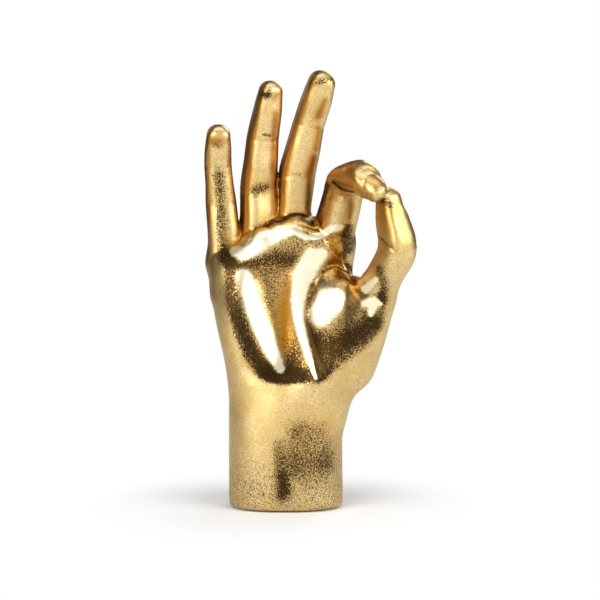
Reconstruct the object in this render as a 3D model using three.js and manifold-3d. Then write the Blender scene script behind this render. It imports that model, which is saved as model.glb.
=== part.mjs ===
// A gilded right hand, cast at life size, that stands on its cut wrist and makes a ring of thumb and
// index finger. Millimetres, +Z up. The origin is the middle of the felt underside, the palm faces -Y
// and the thumb is on the +X side.

import * as THREE from 'three';
import { mergeVertices } from 'three/addons/utils/BufferGeometryUtils.js';
import Module from 'manifold-3d';

const wasm = await Module();
wasm.setup();

// Wrist, the part that the hand stands on
const wristWidth = 69.2;
const wristDepth = 50.2;
const wristHeight = 72;       // foot up to the heel of the palm
const wristOffset = -0.7;     // middle of the wrist, to the little finger's side
const footRound = 5;          // rounding of the foot's outer edge

// Palm, from its heel up to the knuckle line. Shares are of its length, and of its lean
const palmLength = 90;
const palmLean = 4;           // how far the knuckle line lies behind the wrist's middle
const heelDepth = 47;
const heelShare = -0.03;
const lowPalmDepth = 37;
const lowPalmShare = 0.25;
const lowPalmLean = 0.25;
const midPalmWidth = 75;
const midPalmDepth = 33;
const midPalmOffset = -3;
const midPalmShare = 0.52;
const midPalmLean = 0.38;
const knuckleDepth = 30;
const knuckleShare = 0.8;
const knuckleLean = 0.62;
const topWidthShare = 0.95;   // the top's width, as a share of the knuckles'
const topDepth = 23;
const topShare = 1.02;
const topMiddle = 8;          // the palm's top is highest here across the hand,
const topFall = 0.01;         // and falls by this share of the squared distance from it
const topRound = 9;

// Knuckles, counted from the little finger: across the hand, and down from the knuckle line
const littleKnuckleOffset = -37.1;
const littleRingSpacing = 20.1;
const ringMiddleSpacing = 20.1;
const middleIndexSpacing = 23.8;
const littleKnuckleDrop = 13;
const ringKnuckleDrop = 7;
const middleKnuckleDrop = 0;
const indexKnuckleDrop = 4.5;

// Root of the thumb: across and forward from the wrist's middle, and down from the knuckle line, so
// that the thumb's tip keeps its place against the index finger's
const thumbRootAcross = 38.4;
const thumbRootForward = 4;
const thumbRootDrop = 76;

// Long bones in the palm that carry the knuckles
const handBoneGather = 0.42;  // how close together they start, as a share of the knuckles' spread
const handBoneRise = 0.22;    // how high they start, as a share of the palm's length
const handBoneBack = 0.75;    // how far back they start, as a share of the palm's lean
const handBoneGirth = 12;
const knuckleBoneShift = [0, 7.5, 1];
const knuckleBoneSize = [8, 6.5, 6];

// Flesh on the palm. Sizes are half lengths, half widths and half depths, blends are how softly a form
// melts into the rest
const handBoneBlend = 8;
const knuckleBoneBlend = 5;
const edgeMuscleSize = [38, 13.5, 14.5];
const edgeMuscleInset = 16;   // its middle, in from the palm's outer edge
const edgeMuscleForward = 7;
const edgeMuscleRise = 38;    // its middle, above the heel of the palm
const edgeMuscleWay = [-0.16, 0, 1];
const edgeMuscleBlend = 12;
const thumbMuscleSize = [36, 27, 15];
const thumbMuscleShare = 0.47;  // its middle, as a share of the thumb's first bone
const thumbMuscleShift = [-11.8, 4.4, 0];
const thumbMuscleWay = [0.28, -0.2, 0.93];
const thumbMuscleBlend = 11;
const heelMuscleSize = [26, 12, 15];
const heelMusclePlace = [22, -5, 8];  // across and forward from the wrist's middle, up from the heel
const heelMuscleWay = [0.55, -0.1, 0.8];
const heelMuscleBlend = 14;
const thumbBoneGirths = [10.5, 10];
const thumbBoneBlend = 9;
const thumbHeelDrop = 14;     // how far the thumb's root runs down into the wrist
const thumbHeelInset = 7;     // its lower end, in from the wrist's edge
const thumbHeelGirths = [11, 9];
const thumbHeelBlend = 12;
const webShares = [0.35, 0.55, 0.75];  // strands of the web, as shares of the bones at its sides
const webGirths = [7, 7];
const webBlend = 8;
const padGirths = [11, 12, 12, 11];
const boneJoin = 0.5;
const padJoin = 3;
const padBlend = 8;
const hollowSize = [58, 46.5, 40];
const hollowPlace = [-1, -62, 43];  // across and forward from the wrist's middle, up from the heel
const hollowWay = [0.12, 0, 1];
const hollowBlend = 12;

// Where the fingers meet the palm: a crease in front, and a soft blend behind
const creaseForward = 7;
const creaseBlend = 1.2;
const backBlend = 7;
const thumbBlend = 7;

// Fingernails, as shares of the last bone's length and of its girth
const nailPlace = 0.775;
const nailRise = 0.63;
const nailSize = [0.72, 0.78, 0.3];

// Pieces inside and under the casting
const wall = 8;               // resin round the cavity
const cavityTop = 106;        // roof of the cavity, above the foot
const wireRadius = 1.25;
const wireProud = 3;          // wire end that stands out of the cavity's roof
const wireStop = 2;           // wire's end, short of the middle of the fingertip
const ballastHeadroom = 6;    // air between the plaster and the cavity's roof
const plateThickness = 3;
const plateMargin = 6;        // resin rim left round the base plate
const feltThickness = 2;
const feltProud = 0.8;        // felt that stands below the resin rim
const feltMargin = 2;         // base plate left bare round the felt
const clearance = 0.3;

// How finely the round forms are cut into facets
const skinGrain = 3.5;        // longest edge of a facet, before flat stretches are joined
const skinTolerance = 0.35;   // and how far the joined facets may lie off the form
const innerPalm = 1;          // how far the palm of every second finger lies inside the other's
const bendReach = 9;          // a finger's middle line is rounded this far before and after a joint,
const bendShare = 0.45;       // but not further than this share of a bone
const bendSteps = 5;
const palmSides = 28;
const plasterRings = 6;
const nailSides = 10;
const nailRings = 6;
const wireSides = 8;
const wireSteps = 18;
const squareness = 2.3;       // 2 is an ellipse, more is nearer to a rectangle
const fingerSquareness = 2.7;

const knuckleLine = feltProud + wristHeight + palmLength;
const heelLine = feltProud + wristHeight;

// A finger has three bones, each with a length and the way it points: lean is the turn from upright
// to +X in degrees, curl the turn forward to the palm's side. The last length ends in the middle of
// the rounded tip. Girths are radii from the knuckle to the tip, at each joint and halfway between.
// Palmar is where the soft side of each bone faces. The soft pad at the finger's root lies padShift
// from the knuckle. A wire comes up out of the cavity's roof at wireRoot across the hand, and joins the
// first bone at wireEntry, a share of that bone's length.
const fingers = {
  little: {
    knuckle: [littleKnuckleOffset, palmLean, knuckleLine - littleKnuckleDrop],
    lengths: [36.1, 24.8, 18.3],
    lean: [-4.6, -4.5, 3.5],
    curl: [0, 9.3, 25.9],
    girths: [10.8, 9.3, 9.0, 8.1, 7.9, 7.6, 6.8],
    palmar: [[0.1, -1, 0], [0.1, -1, 0], [0.1, -1, 0]],
    flatness: 0.92,
    padShift: [4, -6, -4],
    wireRoot: -14,
    wireEntry: 0,
  },
  ring: {
    knuckle: [littleKnuckleOffset + littleRingSpacing, palmLean, knuckleLine - ringKnuckleDrop],
    lengths: [41.4, 29.1, 28.6],
    lean: [0, 5.0, 10.1],
    curl: [0, 9.9, 16.2],
    girths: [11.2, 10.7, 10.4, 9.3, 8.8, 7.9, 6.6],
    palmar: [[0.25, -1, 0], [0.25, -1, 0], [0.25, -1, 0]],
    flatness: 0.92,
    padShift: [2, -7, 3.5],
    wireRoot: -6.5,
    wireEntry: 0,
  },
  middle: {
    knuckle: [
      littleKnuckleOffset + littleRingSpacing + ringMiddleSpacing,
      palmLean,
      knuckleLine - middleKnuckleDrop,
    ],
    lengths: [40.9, 32.3, 26.3],
    lean: [3.9, 13.6, 17.4],
    curl: [2.8, 10.7, 20.0],
    girths: [11.2, 10.1, 10.7, 9.6, 8.8, 8.5, 7.6],
    palmar: [[0.3, -1, 0], [0.3, -1, 0], [0.3, -1, 0]],
    flatness: 0.92,
    padShift: [2, -7, 4],
    wireRoot: 1,
    wireEntry: 0,
  },
  index: {
    knuckle: [
      littleKnuckleOffset + littleRingSpacing + ringMiddleSpacing + middleIndexSpacing,
      palmLean,
      knuckleLine - indexKnuckleDrop,
    ],
    lengths: [48.8, 24.6, 15.1],
    lean: [12.5, 64.9, 140.2],
    curl: [25.5, 69.2, 34.3],
    girths: [12.5, 11.1, 10.3, 9.2, 8.8, 8.5, 6.6],
    palmar: [[0.26, -0.85, -0.47], [0.42, 0, -0.9], [0, 0.75, -0.66]],
    flatness: 0.95,
    padShift: [3, -6, 4.5],
    wireRoot: 9,
    wireEntry: 0,
  },
  thumb: {
    knuckle: [thumbRootAcross, -thumbRootForward, knuckleLine - thumbRootDrop],
    lengths: [52.0, 39.6, 27.7],
    lean: [16.8, 23.05, -8.5],
    curl: [25.0, 30.3, 0],
    girths: [12.4, 12.0, 11.6, 10.4, 10.7, 8.6, 6.6],
    palmar: [[-0.8, -0.5, 0.1], [-0.8, -0.5, 0.1], [-0.8, -0.5, 0.1]],
    flatness: 0.93,
    wireRoot: 17,
    wireEntry: 0.5,
  },
};

const fingerNames = ['little', 'ring', 'middle', 'index'];
const front = new THREE.Vector3(0, -1, 0);

// A closed mesh as a solid that can be joined and cut
function toSolid(geometry) {
  geometry.deleteAttribute('normal');
  geometry.deleteAttribute('uv');
  const welded = mergeVertices(geometry, 0.0001);
  const corners = welded.index.array;
  const kept = [];
  for (let i = 0; i < corners.length; i += 3) {
    const [a, b, c] = corners.slice(i, i + 3);
    if (a !== b && b !== c && c !== a) {
      kept.push(a, b, c);
    }
  }
  const mesh = new wasm.Mesh({
    numProp: 3,
    vertProperties: Float32Array.from(welded.attributes.position.array),
    triVerts: Uint32Array.from(kept),
  });
  return new wasm.Manifold(mesh);
}

// A solid back as a geometry with flat facets
function toGeometry(solid) {
  const mesh = solid.getMesh();
  const geometry = new THREE.BufferGeometry();
  geometry.setAttribute('position', new THREE.BufferAttribute(mesh.vertProperties, 3));
  geometry.setIndex(new THREE.BufferAttribute(mesh.triVerts, 1));
  geometry.computeVertexNormals();
  return geometry;
}

// The unit vector of a bone that leans and curls by these angles from upright
function boneDirection(lean, curl) {
  const side = THREE.MathUtils.degToRad(lean);
  const forward = THREE.MathUtils.degToRad(curl);
  return new THREE.Vector3(
    Math.sin(side) * Math.cos(forward),
    -Math.sin(forward),
    Math.cos(side) * Math.cos(forward),
  );
}

// The knuckle, the two joints and the middle of the tip of a finger
function jointsOf(finger) {
  const joints = [new THREE.Vector3(...finger.knuckle)];
  finger.lengths.forEach((length, i) => {
    const step = boneDirection(finger.lean[i], finger.curl[i]).multiplyScalar(length);
    joints.push(joints[i].clone().add(step));
  });
  return joints;
}

// Moves a shape made along +Y, with its face to +Z, to a place where it points along a direction
function orient(geometry, place, along, facing) {
  const y = along.clone().normalize();
  const z = facing.clone().addScaledVector(y, -facing.dot(y)).normalize();
  const x = new THREE.Vector3().crossVectors(y, z);
  geometry.applyMatrix4(new THREE.Matrix4().makeBasis(x, y, z).setPosition(place));
  return geometry;
}

// Values at stations 0, 1, 2 and so on, joined by a smooth curve
function smoothBetween(values, station) {
  const last = values.length - 1;
  const i = THREE.MathUtils.clamp(Math.floor(station), 0, last - 1);
  const t = station - i;
  const slopeAt = (j) => {
    const before = Math.max(j - 1, 0);
    const after = Math.min(j + 1, last);
    return (values[after] - values[before]) / (after - before);
  };
  const leave = (t ** 3 - 2 * t ** 2 + t) * slopeAt(i);
  const arrive = (t ** 3 - t ** 2) * slopeAt(i + 1);
  return THREE.MathUtils.lerp(values[i], values[i + 1], t * t * (3 - 2 * t)) + leave + arrive;
}

// A rounded-off rectangle of points round the hand's long axis
function section({ height, width, depth, across, back }, inset) {
  const points = [];
  for (let i = 0; i < palmSides; i += 1) {
    const turn = (i / palmSides) * 2 * Math.PI;
    const c = Math.cos(turn);
    const s = Math.sin(turn);
    points.push(new THREE.Vector3(
      across + (width / 2 - inset) * Math.sign(c) * Math.abs(c) ** (2 / squareness),
      back + (depth / 2 - inset) * Math.sign(s) * Math.abs(s) ** (2 / squareness),
      height,
    ));
  }
  return points;
}

// A closed skin over rings of points that are stacked upwards
function loft(rings) {
  const count = rings[0].length;
  const positions = [];
  const addPoint = (p) => positions.push(p.x, p.y, p.z);
  rings.flat().forEach(addPoint);
  const middle = (ring) => {
    const sum = new THREE.Vector3();
    ring.forEach((p) => sum.add(p));
    return sum.divideScalar(ring.length);
  };
  addPoint(middle(rings[0]));
  addPoint(middle(rings[rings.length - 1]));
  const bottom = rings.length * count;
  const top = bottom + 1;
  const last = (rings.length - 1) * count;
  const faces = [];
  for (let i = 0; i < count; i += 1) {
    const next = (i + 1) % count;
    for (let row = 0; row < last; row += count) {
      faces.push(row + i, row + next, row + count + next);
      faces.push(row + i, row + count + next, row + count + i);
    }
    faces.push(bottom, next, i);
    faces.push(top, last + i, last + next);
  }
  const geometry = new THREE.BufferGeometry();
  geometry.setAttribute('position', new THREE.Float32BufferAttribute(positions, 3));
  geometry.setIndex(faces);
  return geometry;
}

// The wrist and palm at any height, between stations that are set from the sizes above
const knuckleLeft = littleKnuckleOffset - fingers.little.girths[0];
const knuckleRight = fingers.index.knuckle[0] + fingers.index.girths[0];
const knuckleWidth = knuckleRight - knuckleLeft;
const knuckleMiddle = (knuckleLeft + knuckleRight) / 2;

function palmStation(share, width, depth, across, lean) {
  return { height: heelLine + share * palmLength, width, depth, across, back: lean * palmLean };
}

const wrist = { width: wristWidth, depth: wristDepth, across: wristOffset, back: 0 };
const palmStations = [
  { height: feltProud, ...wrist },
  { height: feltProud + wristHeight / 2, ...wrist },
  palmStation(heelShare, wristWidth, heelDepth, wristOffset, 0),
  palmStation(lowPalmShare, wristWidth, lowPalmDepth, wristOffset, lowPalmLean),
  palmStation(midPalmShare, midPalmWidth, midPalmDepth, midPalmOffset, midPalmLean),
  palmStation(knuckleShare, knuckleWidth, knuckleDepth, knuckleMiddle, knuckleLean),
  palmStation(topShare, topWidthShare * knuckleWidth, topDepth, knuckleMiddle, 1),
];

// The wrist's or palm's width, depth and middle at a height
function palmAt(height) {
  const above = palmStations.findIndex((station) => station.height >= height);
  const i = above < 0 ? palmStations.length - 1 : Math.max(above, 1);
  const low = palmStations[i - 1].height;
  const share = (height - low) / (palmStations[i].height - low);
  const station = i - 1 + THREE.MathUtils.clamp(share, 0, 1);
  const at = { height };
  for (const size of ['width', 'depth', 'across', 'back']) {
    at[size] = smoothBetween(palmStations.map((each) => each[size]), station);
  }
  return at;
}

function heightsBetween(low, high, steps) {
  return Array.from({ length: steps + 1 }, (_, i) => THREE.MathUtils.lerp(low, high, i / steps));
}

// The casting's outside is modelled as clay is, with forms that are melted together. A form tells of
// any place how far it is from the form's skin: below zero inside it, above zero outside.
const farOutside = 1000;
const nearest = new THREE.Vector3();
const toPlace = new THREE.Vector3();

// The nearer of two skins, with a soft fillet between them
function melt(a, b, blend) {
  const overlap = Math.max(blend - Math.abs(a - b), 0) / blend;
  return Math.min(a, b) - (overlap * overlap * blend) / 4;
}

// An egg. Half sizes are along, across and to the front
function egg(middle, way, [halfLength, halfWidth, halfDepth], facing = front) {
  const along = new THREE.Vector3(...way).normalize();
  const ahead = facing.clone().addScaledVector(along, -facing.dot(along)).normalize();
  const across = new THREE.Vector3().crossVectors(along, ahead);
  const toEgg = new THREE.Matrix4().makeBasis(across, along, ahead).setPosition(middle).invert();
  const halves = new THREE.Vector3(halfWidth, halfLength, halfDepth);
  return (place) => {
    toPlace.copy(place).applyMatrix4(toEgg).divide(halves);
    const ratio = toPlace.length();
    const slope = toPlace.divide(halves).length();
    return slope > 0 ? (ratio * (ratio - 1)) / slope : -halfDepth;
  };
}

// A round roll along points, with a girth at each
function roll(points, girths, join = boneJoin) {
  const lines = points.slice(1).map((end, i) => new THREE.Line3(points[i], end));
  return (place) => lines.reduce((skin, line, i) => {
    const t = line.closestPointToPointParameter(place, true);
    const girth = THREE.MathUtils.lerp(girths[i], girths[i + 1], t);
    return melt(skin, line.at(t, nearest).distanceTo(place) - girth, join);
  }, farOutside);
}

// The wrist and palm, without the flesh on it
function body(place) {
  const { width, depth, across, back } = palmAt(place.z);
  const u = (2 * Math.abs(place.x - across)) / width;
  const v = (2 * Math.abs(place.y - back)) / depth;
  const ratio = (u ** squareness + v ** squareness) ** (1 / squareness);
  const slope = Math.hypot(u ** (squareness - 1) / width, v ** (squareness - 1) / depth);
  const side = slope > 0 ? (ratio - 1) / (2 * slope * ratio ** (1 - squareness)) : -depth / 2;
  const top = place.z - knuckleLine + topFall * (place.x - topMiddle) ** 2;
  return -melt(-side, -top, topRound);
}

// A finger's middle line, rounded at the joints: its points, and the station of each, which is 0 at
// the knuckle and grows by 2 with each bone
function middleLine(finger) {
  const joints = jointsOf(finger);
  const points = [joints[0]];
  const stations = [0];
  for (let i = 1; i < finger.lengths.length; i += 1) {
    const [below, above] = finger.lengths.slice(i - 1, i + 1);
    const reach = Math.min(bendReach, bendShare * below, bendShare * above);
    const start = joints[i].clone().lerp(joints[i - 1], reach / below);
    const end = joints[i].clone().lerp(joints[i + 1], reach / above);
    const bend = new THREE.QuadraticBezierCurve3(start, joints[i], end);
    for (let step = 0; step <= bendSteps; step += 1) {
      const t = step / bendSteps;
      points.push(bend.getPoint(t));
      stations.push(2 * i + ((4 * t - 2) * reach) / (t < 0.5 ? below : above));
    }
  }
  points.push(joints[finger.lengths.length]);
  stations.push(2 * finger.lengths.length);
  return { points, stations };
}

// A finger, of a rounded-off square section that is as wide as its girths and a little flatter
function fingerForm(finger) {
  const { points, stations } = middleLine(finger);
  const palmar = finger.palmar.map((way) => new THREE.Vector3(...way));
  const last = palmar.length - 1;
  const spans = points.slice(1).map((end, i) => {
    const bone = THREE.MathUtils.clamp((stations[i] + stations[i + 1]) / 4 - 0.5, 0, last);
    const below = Math.floor(bone);
    const along = end.clone().sub(points[i]).normalize();
    const ahead = palmar[below].clone().lerp(palmar[Math.min(below + 1, last)], bone - below);
    ahead.addScaledVector(along, -ahead.dot(along)).normalize();
    const side = new THREE.Vector3().crossVectors(along, ahead);
    const line = new THREE.Line3(points[i], end);
    return { line, low: stations[i], high: stations[i + 1], along, ahead, side };
  });
  const offset = new THREE.Vector3();
  return (place) => {
    let closest = Infinity;
    let span = spans[0];
    let station = 0;
    for (const candidate of spans) {
      const t = candidate.line.closestPointToPointParameter(place, true);
      candidate.line.at(t, nearest);
      const square = nearest.distanceToSquared(place);
      if (square < closest) {
        closest = square;
        span = candidate;
        station = THREE.MathUtils.lerp(span.low, span.high, t);
        offset.subVectors(place, nearest);
      }
    }
    const ahead = Math.abs(offset.dot(span.ahead)) / finger.flatness;
    const side = Math.abs(offset.dot(span.side));
    const across = (ahead ** fingerSquareness + side ** fingerSquareness) ** (1 / fingerSquareness);
    return Math.hypot(across, offset.dot(span.along)) - smoothBetween(finger.girths, station);
  };
}

// Where the long bone in the palm that carries a finger's knuckle starts
function handBoneRoot(finger) {
  const [across] = finger.knuckle;
  return new THREE.Vector3(
    handBoneGather * across,
    handBoneBack * palmLean,
    heelLine + handBoneRise * palmLength,
  );
}

// A place that is given across, back and up from the middle of the palm's heel
function fromHeel([across, back, up]) {
  return new THREE.Vector3(across, back, heelLine + up);
}

// The bones in the palm and the flesh on them, each with its blend
function palmForms() {
  const forms = [];
  const add = (form, blend) => forms.push({ form, blend });
  for (const name of fingerNames) {
    const finger = fingers[name];
    const [knuckle] = jointsOf(finger);
    add(roll([handBoneRoot(finger), knuckle], [handBoneGirth, finger.girths[0]]), handBoneBlend);
    const knuckleBone = new THREE.Vector3(...knuckleBoneShift).add(knuckle);
    add(egg(knuckleBone, [0, 0, 1], knuckleBoneSize), knuckleBoneBlend);
  }

  const edgeAcross = midPalmOffset - midPalmWidth / 2 + edgeMuscleInset;
  const edgeMiddle = fromHeel([edgeAcross, -edgeMuscleForward, edgeMuscleRise]);
  add(egg(edgeMiddle, edgeMuscleWay, edgeMuscleSize), edgeMuscleBlend);

  const [thumbRoot, thumbKnuckle] = jointsOf(fingers.thumb);
  const ball = thumbRoot.clone().lerp(thumbKnuckle, thumbMuscleShare);
  ball.add(new THREE.Vector3(...thumbMuscleShift));
  const heelAcross = wristOffset + wristWidth / 2 - thumbHeelInset;
  const heelEnd = fromHeel([heelAcross, -thumbRootForward, -thumbHeelDrop]);
  add(roll([thumbRoot, thumbKnuckle], thumbBoneGirths), thumbBoneBlend);
  add(roll([thumbRoot, heelEnd], thumbHeelGirths), thumbHeelBlend);
  add(egg(ball, thumbMuscleWay, thumbMuscleSize), thumbMuscleBlend);
  add(egg(fromHeel(heelMusclePlace), heelMuscleWay, heelMuscleSize), heelMuscleBlend);

  const [indexKnuckle] = jointsOf(fingers.index);
  for (const share of webShares) {
    const indexSide = handBoneRoot(fingers.index).lerp(indexKnuckle, share);
    const thumbSide = thumbRoot.clone().lerp(thumbKnuckle, share);
    add(roll([indexSide, thumbSide], webGirths), webBlend);
  }

  const pads = fingerNames.map((name) => {
    const [knuckle] = jointsOf(fingers[name]);
    return knuckle.add(new THREE.Vector3(...fingers[name].padShift));
  });
  add(roll(pads, padGirths, padJoin), padBlend);
  return forms;
}

// The palm with some of the fingers on it, as the distance from its skin. The palm is drawn in by an
// inset.
function handForm(names, inset) {
  const forms = palmForms();
  const toSide = new THREE.Vector3(1, 0, 0);
  const hollow = egg(fromHeel(hollowPlace), hollowWay, hollowSize, toSide);
  const grown = names.map((name) => ({ form: fingerForm(fingers[name]), upright: name !== 'thumb' }));
  return (place) => {
    const full = forms.reduce((skin, { form, blend }) => melt(skin, form(place), blend), body(place));
    const palm = inset - melt(-full, hollow(place), hollowBlend);
    const behind = THREE.MathUtils.clamp((place.y + creaseForward) / (creaseForward + palmLean), 0, 1);
    const rootBlend = THREE.MathUtils.lerp(creaseBlend, backBlend, behind);
    const hand = grown.reduce((skin, { form, upright }) => {
      return melt(skin, form(place), upright ? rootBlend : thumbBlend);
    }, palm);
    return -melt(-hand, place.z - feltProud - inset, footRound);
  };
}

// The skin over the palm and some of the fingers. Pockets of air inside the flesh are left out
function skinOver(names, inset) {
  const form = handForm(names, inset);
  const place = new THREE.Vector3();
  const room = new THREE.Box3();
  for (const finger of Object.values(fingers)) {
    jointsOf(finger).forEach((joint) => room.expandByPoint(joint));
  }
  room.expandByPoint(place.set(-wristWidth / 2, wristDepth / 2, 0));
  room.expandByScalar(Math.max(...fingers.index.girths) + skinGrain);
  const bounds = { min: room.min.toArray(), max: room.max.toArray() };
  const depthAt = (point) => -form(place.set(...point));
  const skins = wasm.Manifold.levelSet(depthAt, bounds, skinGrain).decompose();
  const [outside] = skins.sort((a, b) => b.volume() - a.volume());
  return outside.simplify(skinTolerance);
}

// Neighbouring fingers touch along a cleft that is finer than the skin's grain, so every second finger
// grows from a palm of its own, which lies a little inside the other
function handOutside() {
  const hand = skinOver(['little', 'middle', 'thumb'], 0).add(skinOver(['ring', 'index'], innerPalm));
  return Object.values(fingers).reduce((whole, finger) => whole.add(nail(finger)), hand);
}

// A fingernail lies in the back of the last bone
function nail(finger) {
  const [, , joint, tip] = jointsOf(finger);
  const along = tip.clone().sub(joint);
  const axis = along.clone().normalize();
  const palmar = new THREE.Vector3(...finger.palmar[finger.palmar.length - 1]);
  const back = palmar.addScaledVector(axis, -palmar.dot(axis)).normalize().negate();
  const girth = finger.girths[5];
  const place = joint.clone().addScaledVector(along, nailPlace);
  place.addScaledVector(back, nailRise * girth);
  const geometry = new THREE.SphereGeometry(girth, nailSides, nailRings);
  geometry.scale(...nailSize);
  return toSolid(orient(geometry, place, along, back));
}

// The cavity in the wrist and palm, and the plaster that fills it up to the air below the roof
const ledge = feltThickness + clearance + plateThickness + clearance;
const plasterTop = cavityTop - ballastHeadroom;
const plasterHeights = heightsBetween(ledge, plasterTop, plasterRings);

function stackedSections(heights, inset) {
  return toSolid(loft(heights.map((height) => section(palmAt(height), inset))));
}

// A flat piece of the foot's outline, drawn in by a margin
function footPlate(margin, low, thickness) {
  const outline = new THREE.Shape(section(palmAt(feltProud), margin));
  const settings = { depth: thickness, bevelEnabled: false };
  return new THREE.ExtrudeGeometry(outline, settings).translate(0, 0, low);
}

// A wire's route: out of the cavity's roof, through the palm's flesh and on to the fingertip
function wireRoute(finger, beyond) {
  const [knuckle, middleJoint, endJoint, tip] = jointsOf(finger);
  const first = knuckle.clone().lerp(middleJoint, finger.wireEntry);
  const last = tip.clone().sub(endJoint);
  const end = endJoint.clone().addScaledVector(last, 1 - (wireStop - beyond) / last.length());
  const root = new THREE.Vector3(finger.wireRoot, palmLean / 2, cavityTop - wireProud);
  return new THREE.CatmullRomCurve3([root, first, middleJoint, endJoint, end]);
}

function wireGeometry(finger, radius, beyond) {
  const points = [];
  for (let i = 0; i < wireSides; i += 1) {
    const turn = (i / wireSides) * 2 * Math.PI;
    points.push(new THREE.Vector2(radius * Math.cos(turn), radius * Math.sin(turn)));
  }
  const extrudePath = wireRoute(finger, beyond);
  return new THREE.ExtrudeGeometry(new THREE.Shape(points), { steps: wireSteps, extrudePath });
}

function castingGeometry() {
  let casting = handOutside();
  casting = casting.subtract(stackedSections([...plasterHeights, cavityTop], wall));
  const rebate = footPlate(plateMargin - clearance, -1, ledge + 1);
  casting = casting.subtract(toSolid(rebate));
  for (const finger of Object.values(fingers)) {
    const channel = toSolid(wireGeometry(finger, wireRadius + clearance, clearance));
    casting = casting.subtract(channel);
  }
  return toGeometry(casting);
}

const goldLeaf = { color: 0xd6a645, roughness: 0.28, metalness: 1 };
const steel = { color: 0x8d9094, roughness: 0.45, metalness: 1 };
const plaster = { color: 0xe6e1d6, roughness: 0.95, metalness: 0 };
const hardboard = { color: 0x5b4330, roughness: 0.8, metalness: 0 };
const felt = { color: 0x23241f, roughness: 1, metalness: 0 };

const hand = new THREE.Group();

function addPiece(name, geometry, finish) {
  const piece = new THREE.Mesh(geometry, new THREE.MeshStandardMaterial(finish));
  piece.name = name;
  hand.add(piece);
}

addPiece('hand_casting', castingGeometry(), goldLeaf);
for (const [name, finger] of Object.entries(fingers)) {
  addPiece(`${name}_wire`, wireGeometry(finger, wireRadius, 0), steel);
}
const ballast = stackedSections(plasterHeights, wall + clearance);
addPiece('ballast_block', toGeometry(ballast), plaster);
const plateBottom = feltThickness + clearance;
addPiece('base_plate', footPlate(plateMargin, plateBottom, plateThickness), hardboard);
addPiece('felt_pad', footPlate(plateMargin + feltMargin, 0, feltThickness), felt);

export default hand;
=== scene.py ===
# A gilded right hand that stands on its cut wrist and makes a ring of thumb and index finger.
# The palm faces -Y and the thumb is on the +X side. Blender's units are metres.

from math import cos, pi, radians, sin

import bmesh
import bpy
import numpy as np
import openvdb
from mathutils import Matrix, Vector


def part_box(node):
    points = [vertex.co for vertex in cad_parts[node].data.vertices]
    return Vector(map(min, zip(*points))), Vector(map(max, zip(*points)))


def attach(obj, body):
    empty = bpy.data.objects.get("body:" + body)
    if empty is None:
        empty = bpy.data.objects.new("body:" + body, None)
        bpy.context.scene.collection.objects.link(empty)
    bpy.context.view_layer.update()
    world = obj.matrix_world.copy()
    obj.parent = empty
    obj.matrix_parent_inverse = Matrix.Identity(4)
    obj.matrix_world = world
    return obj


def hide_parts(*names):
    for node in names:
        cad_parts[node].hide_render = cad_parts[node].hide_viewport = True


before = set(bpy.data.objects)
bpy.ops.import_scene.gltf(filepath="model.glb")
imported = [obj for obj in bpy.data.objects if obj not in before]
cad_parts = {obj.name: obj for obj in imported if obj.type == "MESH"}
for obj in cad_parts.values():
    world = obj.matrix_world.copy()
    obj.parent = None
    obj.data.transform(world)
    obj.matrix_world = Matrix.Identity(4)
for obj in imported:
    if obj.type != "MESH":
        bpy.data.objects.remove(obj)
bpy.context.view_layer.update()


# Camera
# The photograph was taken from straight in front of the palm, a little above the middle of the hand,
# with a long lens. It's 600 pixels wide and shows 0.606 mm of the hand in each.

photo_pixels = 600
metres_per_pixel = 0.000606
camera_distance = 1.3
across_to_middle = 0.008
camera_place = Vector((across_to_middle, -camera_distance, 0.2458))
camera_aim = Vector((across_to_middle, 0, 0.1268))

camera_data = bpy.data.cameras.new("camera")
camera_data.sensor_width = 36
camera_data.lens = camera_data.sensor_width * camera_distance / (metres_per_pixel * photo_pixels)
camera = bpy.data.objects.new("camera", camera_data)
camera.location = camera_place
camera.rotation_euler = (camera_aim - camera_place).to_track_quat("-Z", "Y").to_euler()
bpy.context.collection.objects.link(camera)
bpy.context.scene.camera = camera


# Hand casting, the form
# The real hand is cast in resin in one piece, from a mould taken off a modelled hand. It's modelled
# here in the same way: rolls and eggs of clay are melted together, and creases are pressed in. The
# clay is a block of distances to the skin, below zero inside the clay and above outside. All its sizes
# are in millimetres. X is across to the thumb's side, Y is to the back and Z is up from the shelf.

mm = 0.001
grain = 0.98
block_low = np.array((-54.0, -62.0, -2.0))
block_high = np.array((80.0, 30.0, 269.0))
block_axes = [np.arange(low, high, grain) for low, high in zip(block_low, block_high)]
far_outside = 30.0
melt_reach = 14


def unit(vector):
    vector = np.array(vector, float)
    return vector / np.linalg.norm(vector)


def melt(a, b, softness):
    """the nearer of two skins, with a soft fillet between them"""
    if np.isscalar(softness) and softness <= 0:
        return np.minimum(a, b)
    overlap = np.maximum(softness - np.abs(a - b), 0) / softness
    return np.minimum(a, b) - overlap * overlap * softness / 4


def new_clay():
    """a block with no clay in it yet"""
    return np.full([len(axis) for axis in block_axes], far_outside, np.float32)


def around(low, high, reach=melt_reach):
    """the part of the block near a box, as slices and as coordinates"""
    spans = []
    for axis, start, stop in zip(block_axes, low, high):
        spans.append(slice(*np.searchsorted(axis, (start - reach, stop + reach))))
    stretches = [axis[span] for axis, span in zip(block_axes, spans)]
    return tuple(spans), np.meshgrid(*stretches, indexing="ij", sparse=True)


def add(clay, low, high, form, softness):
    """melts a form onto the clay; low and high are the corners of its box"""
    spans, (x, y, z) = around(low, high)
    clay[spans] = melt(clay[spans], form(x, y, z), softness)


def take_away(clay, low, high, form, softness):
    """carves a form out of the clay"""
    spans, (x, y, z) = around(low, high)
    clay[spans] = -melt(-clay[spans], form(x, y, z), softness)


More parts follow.
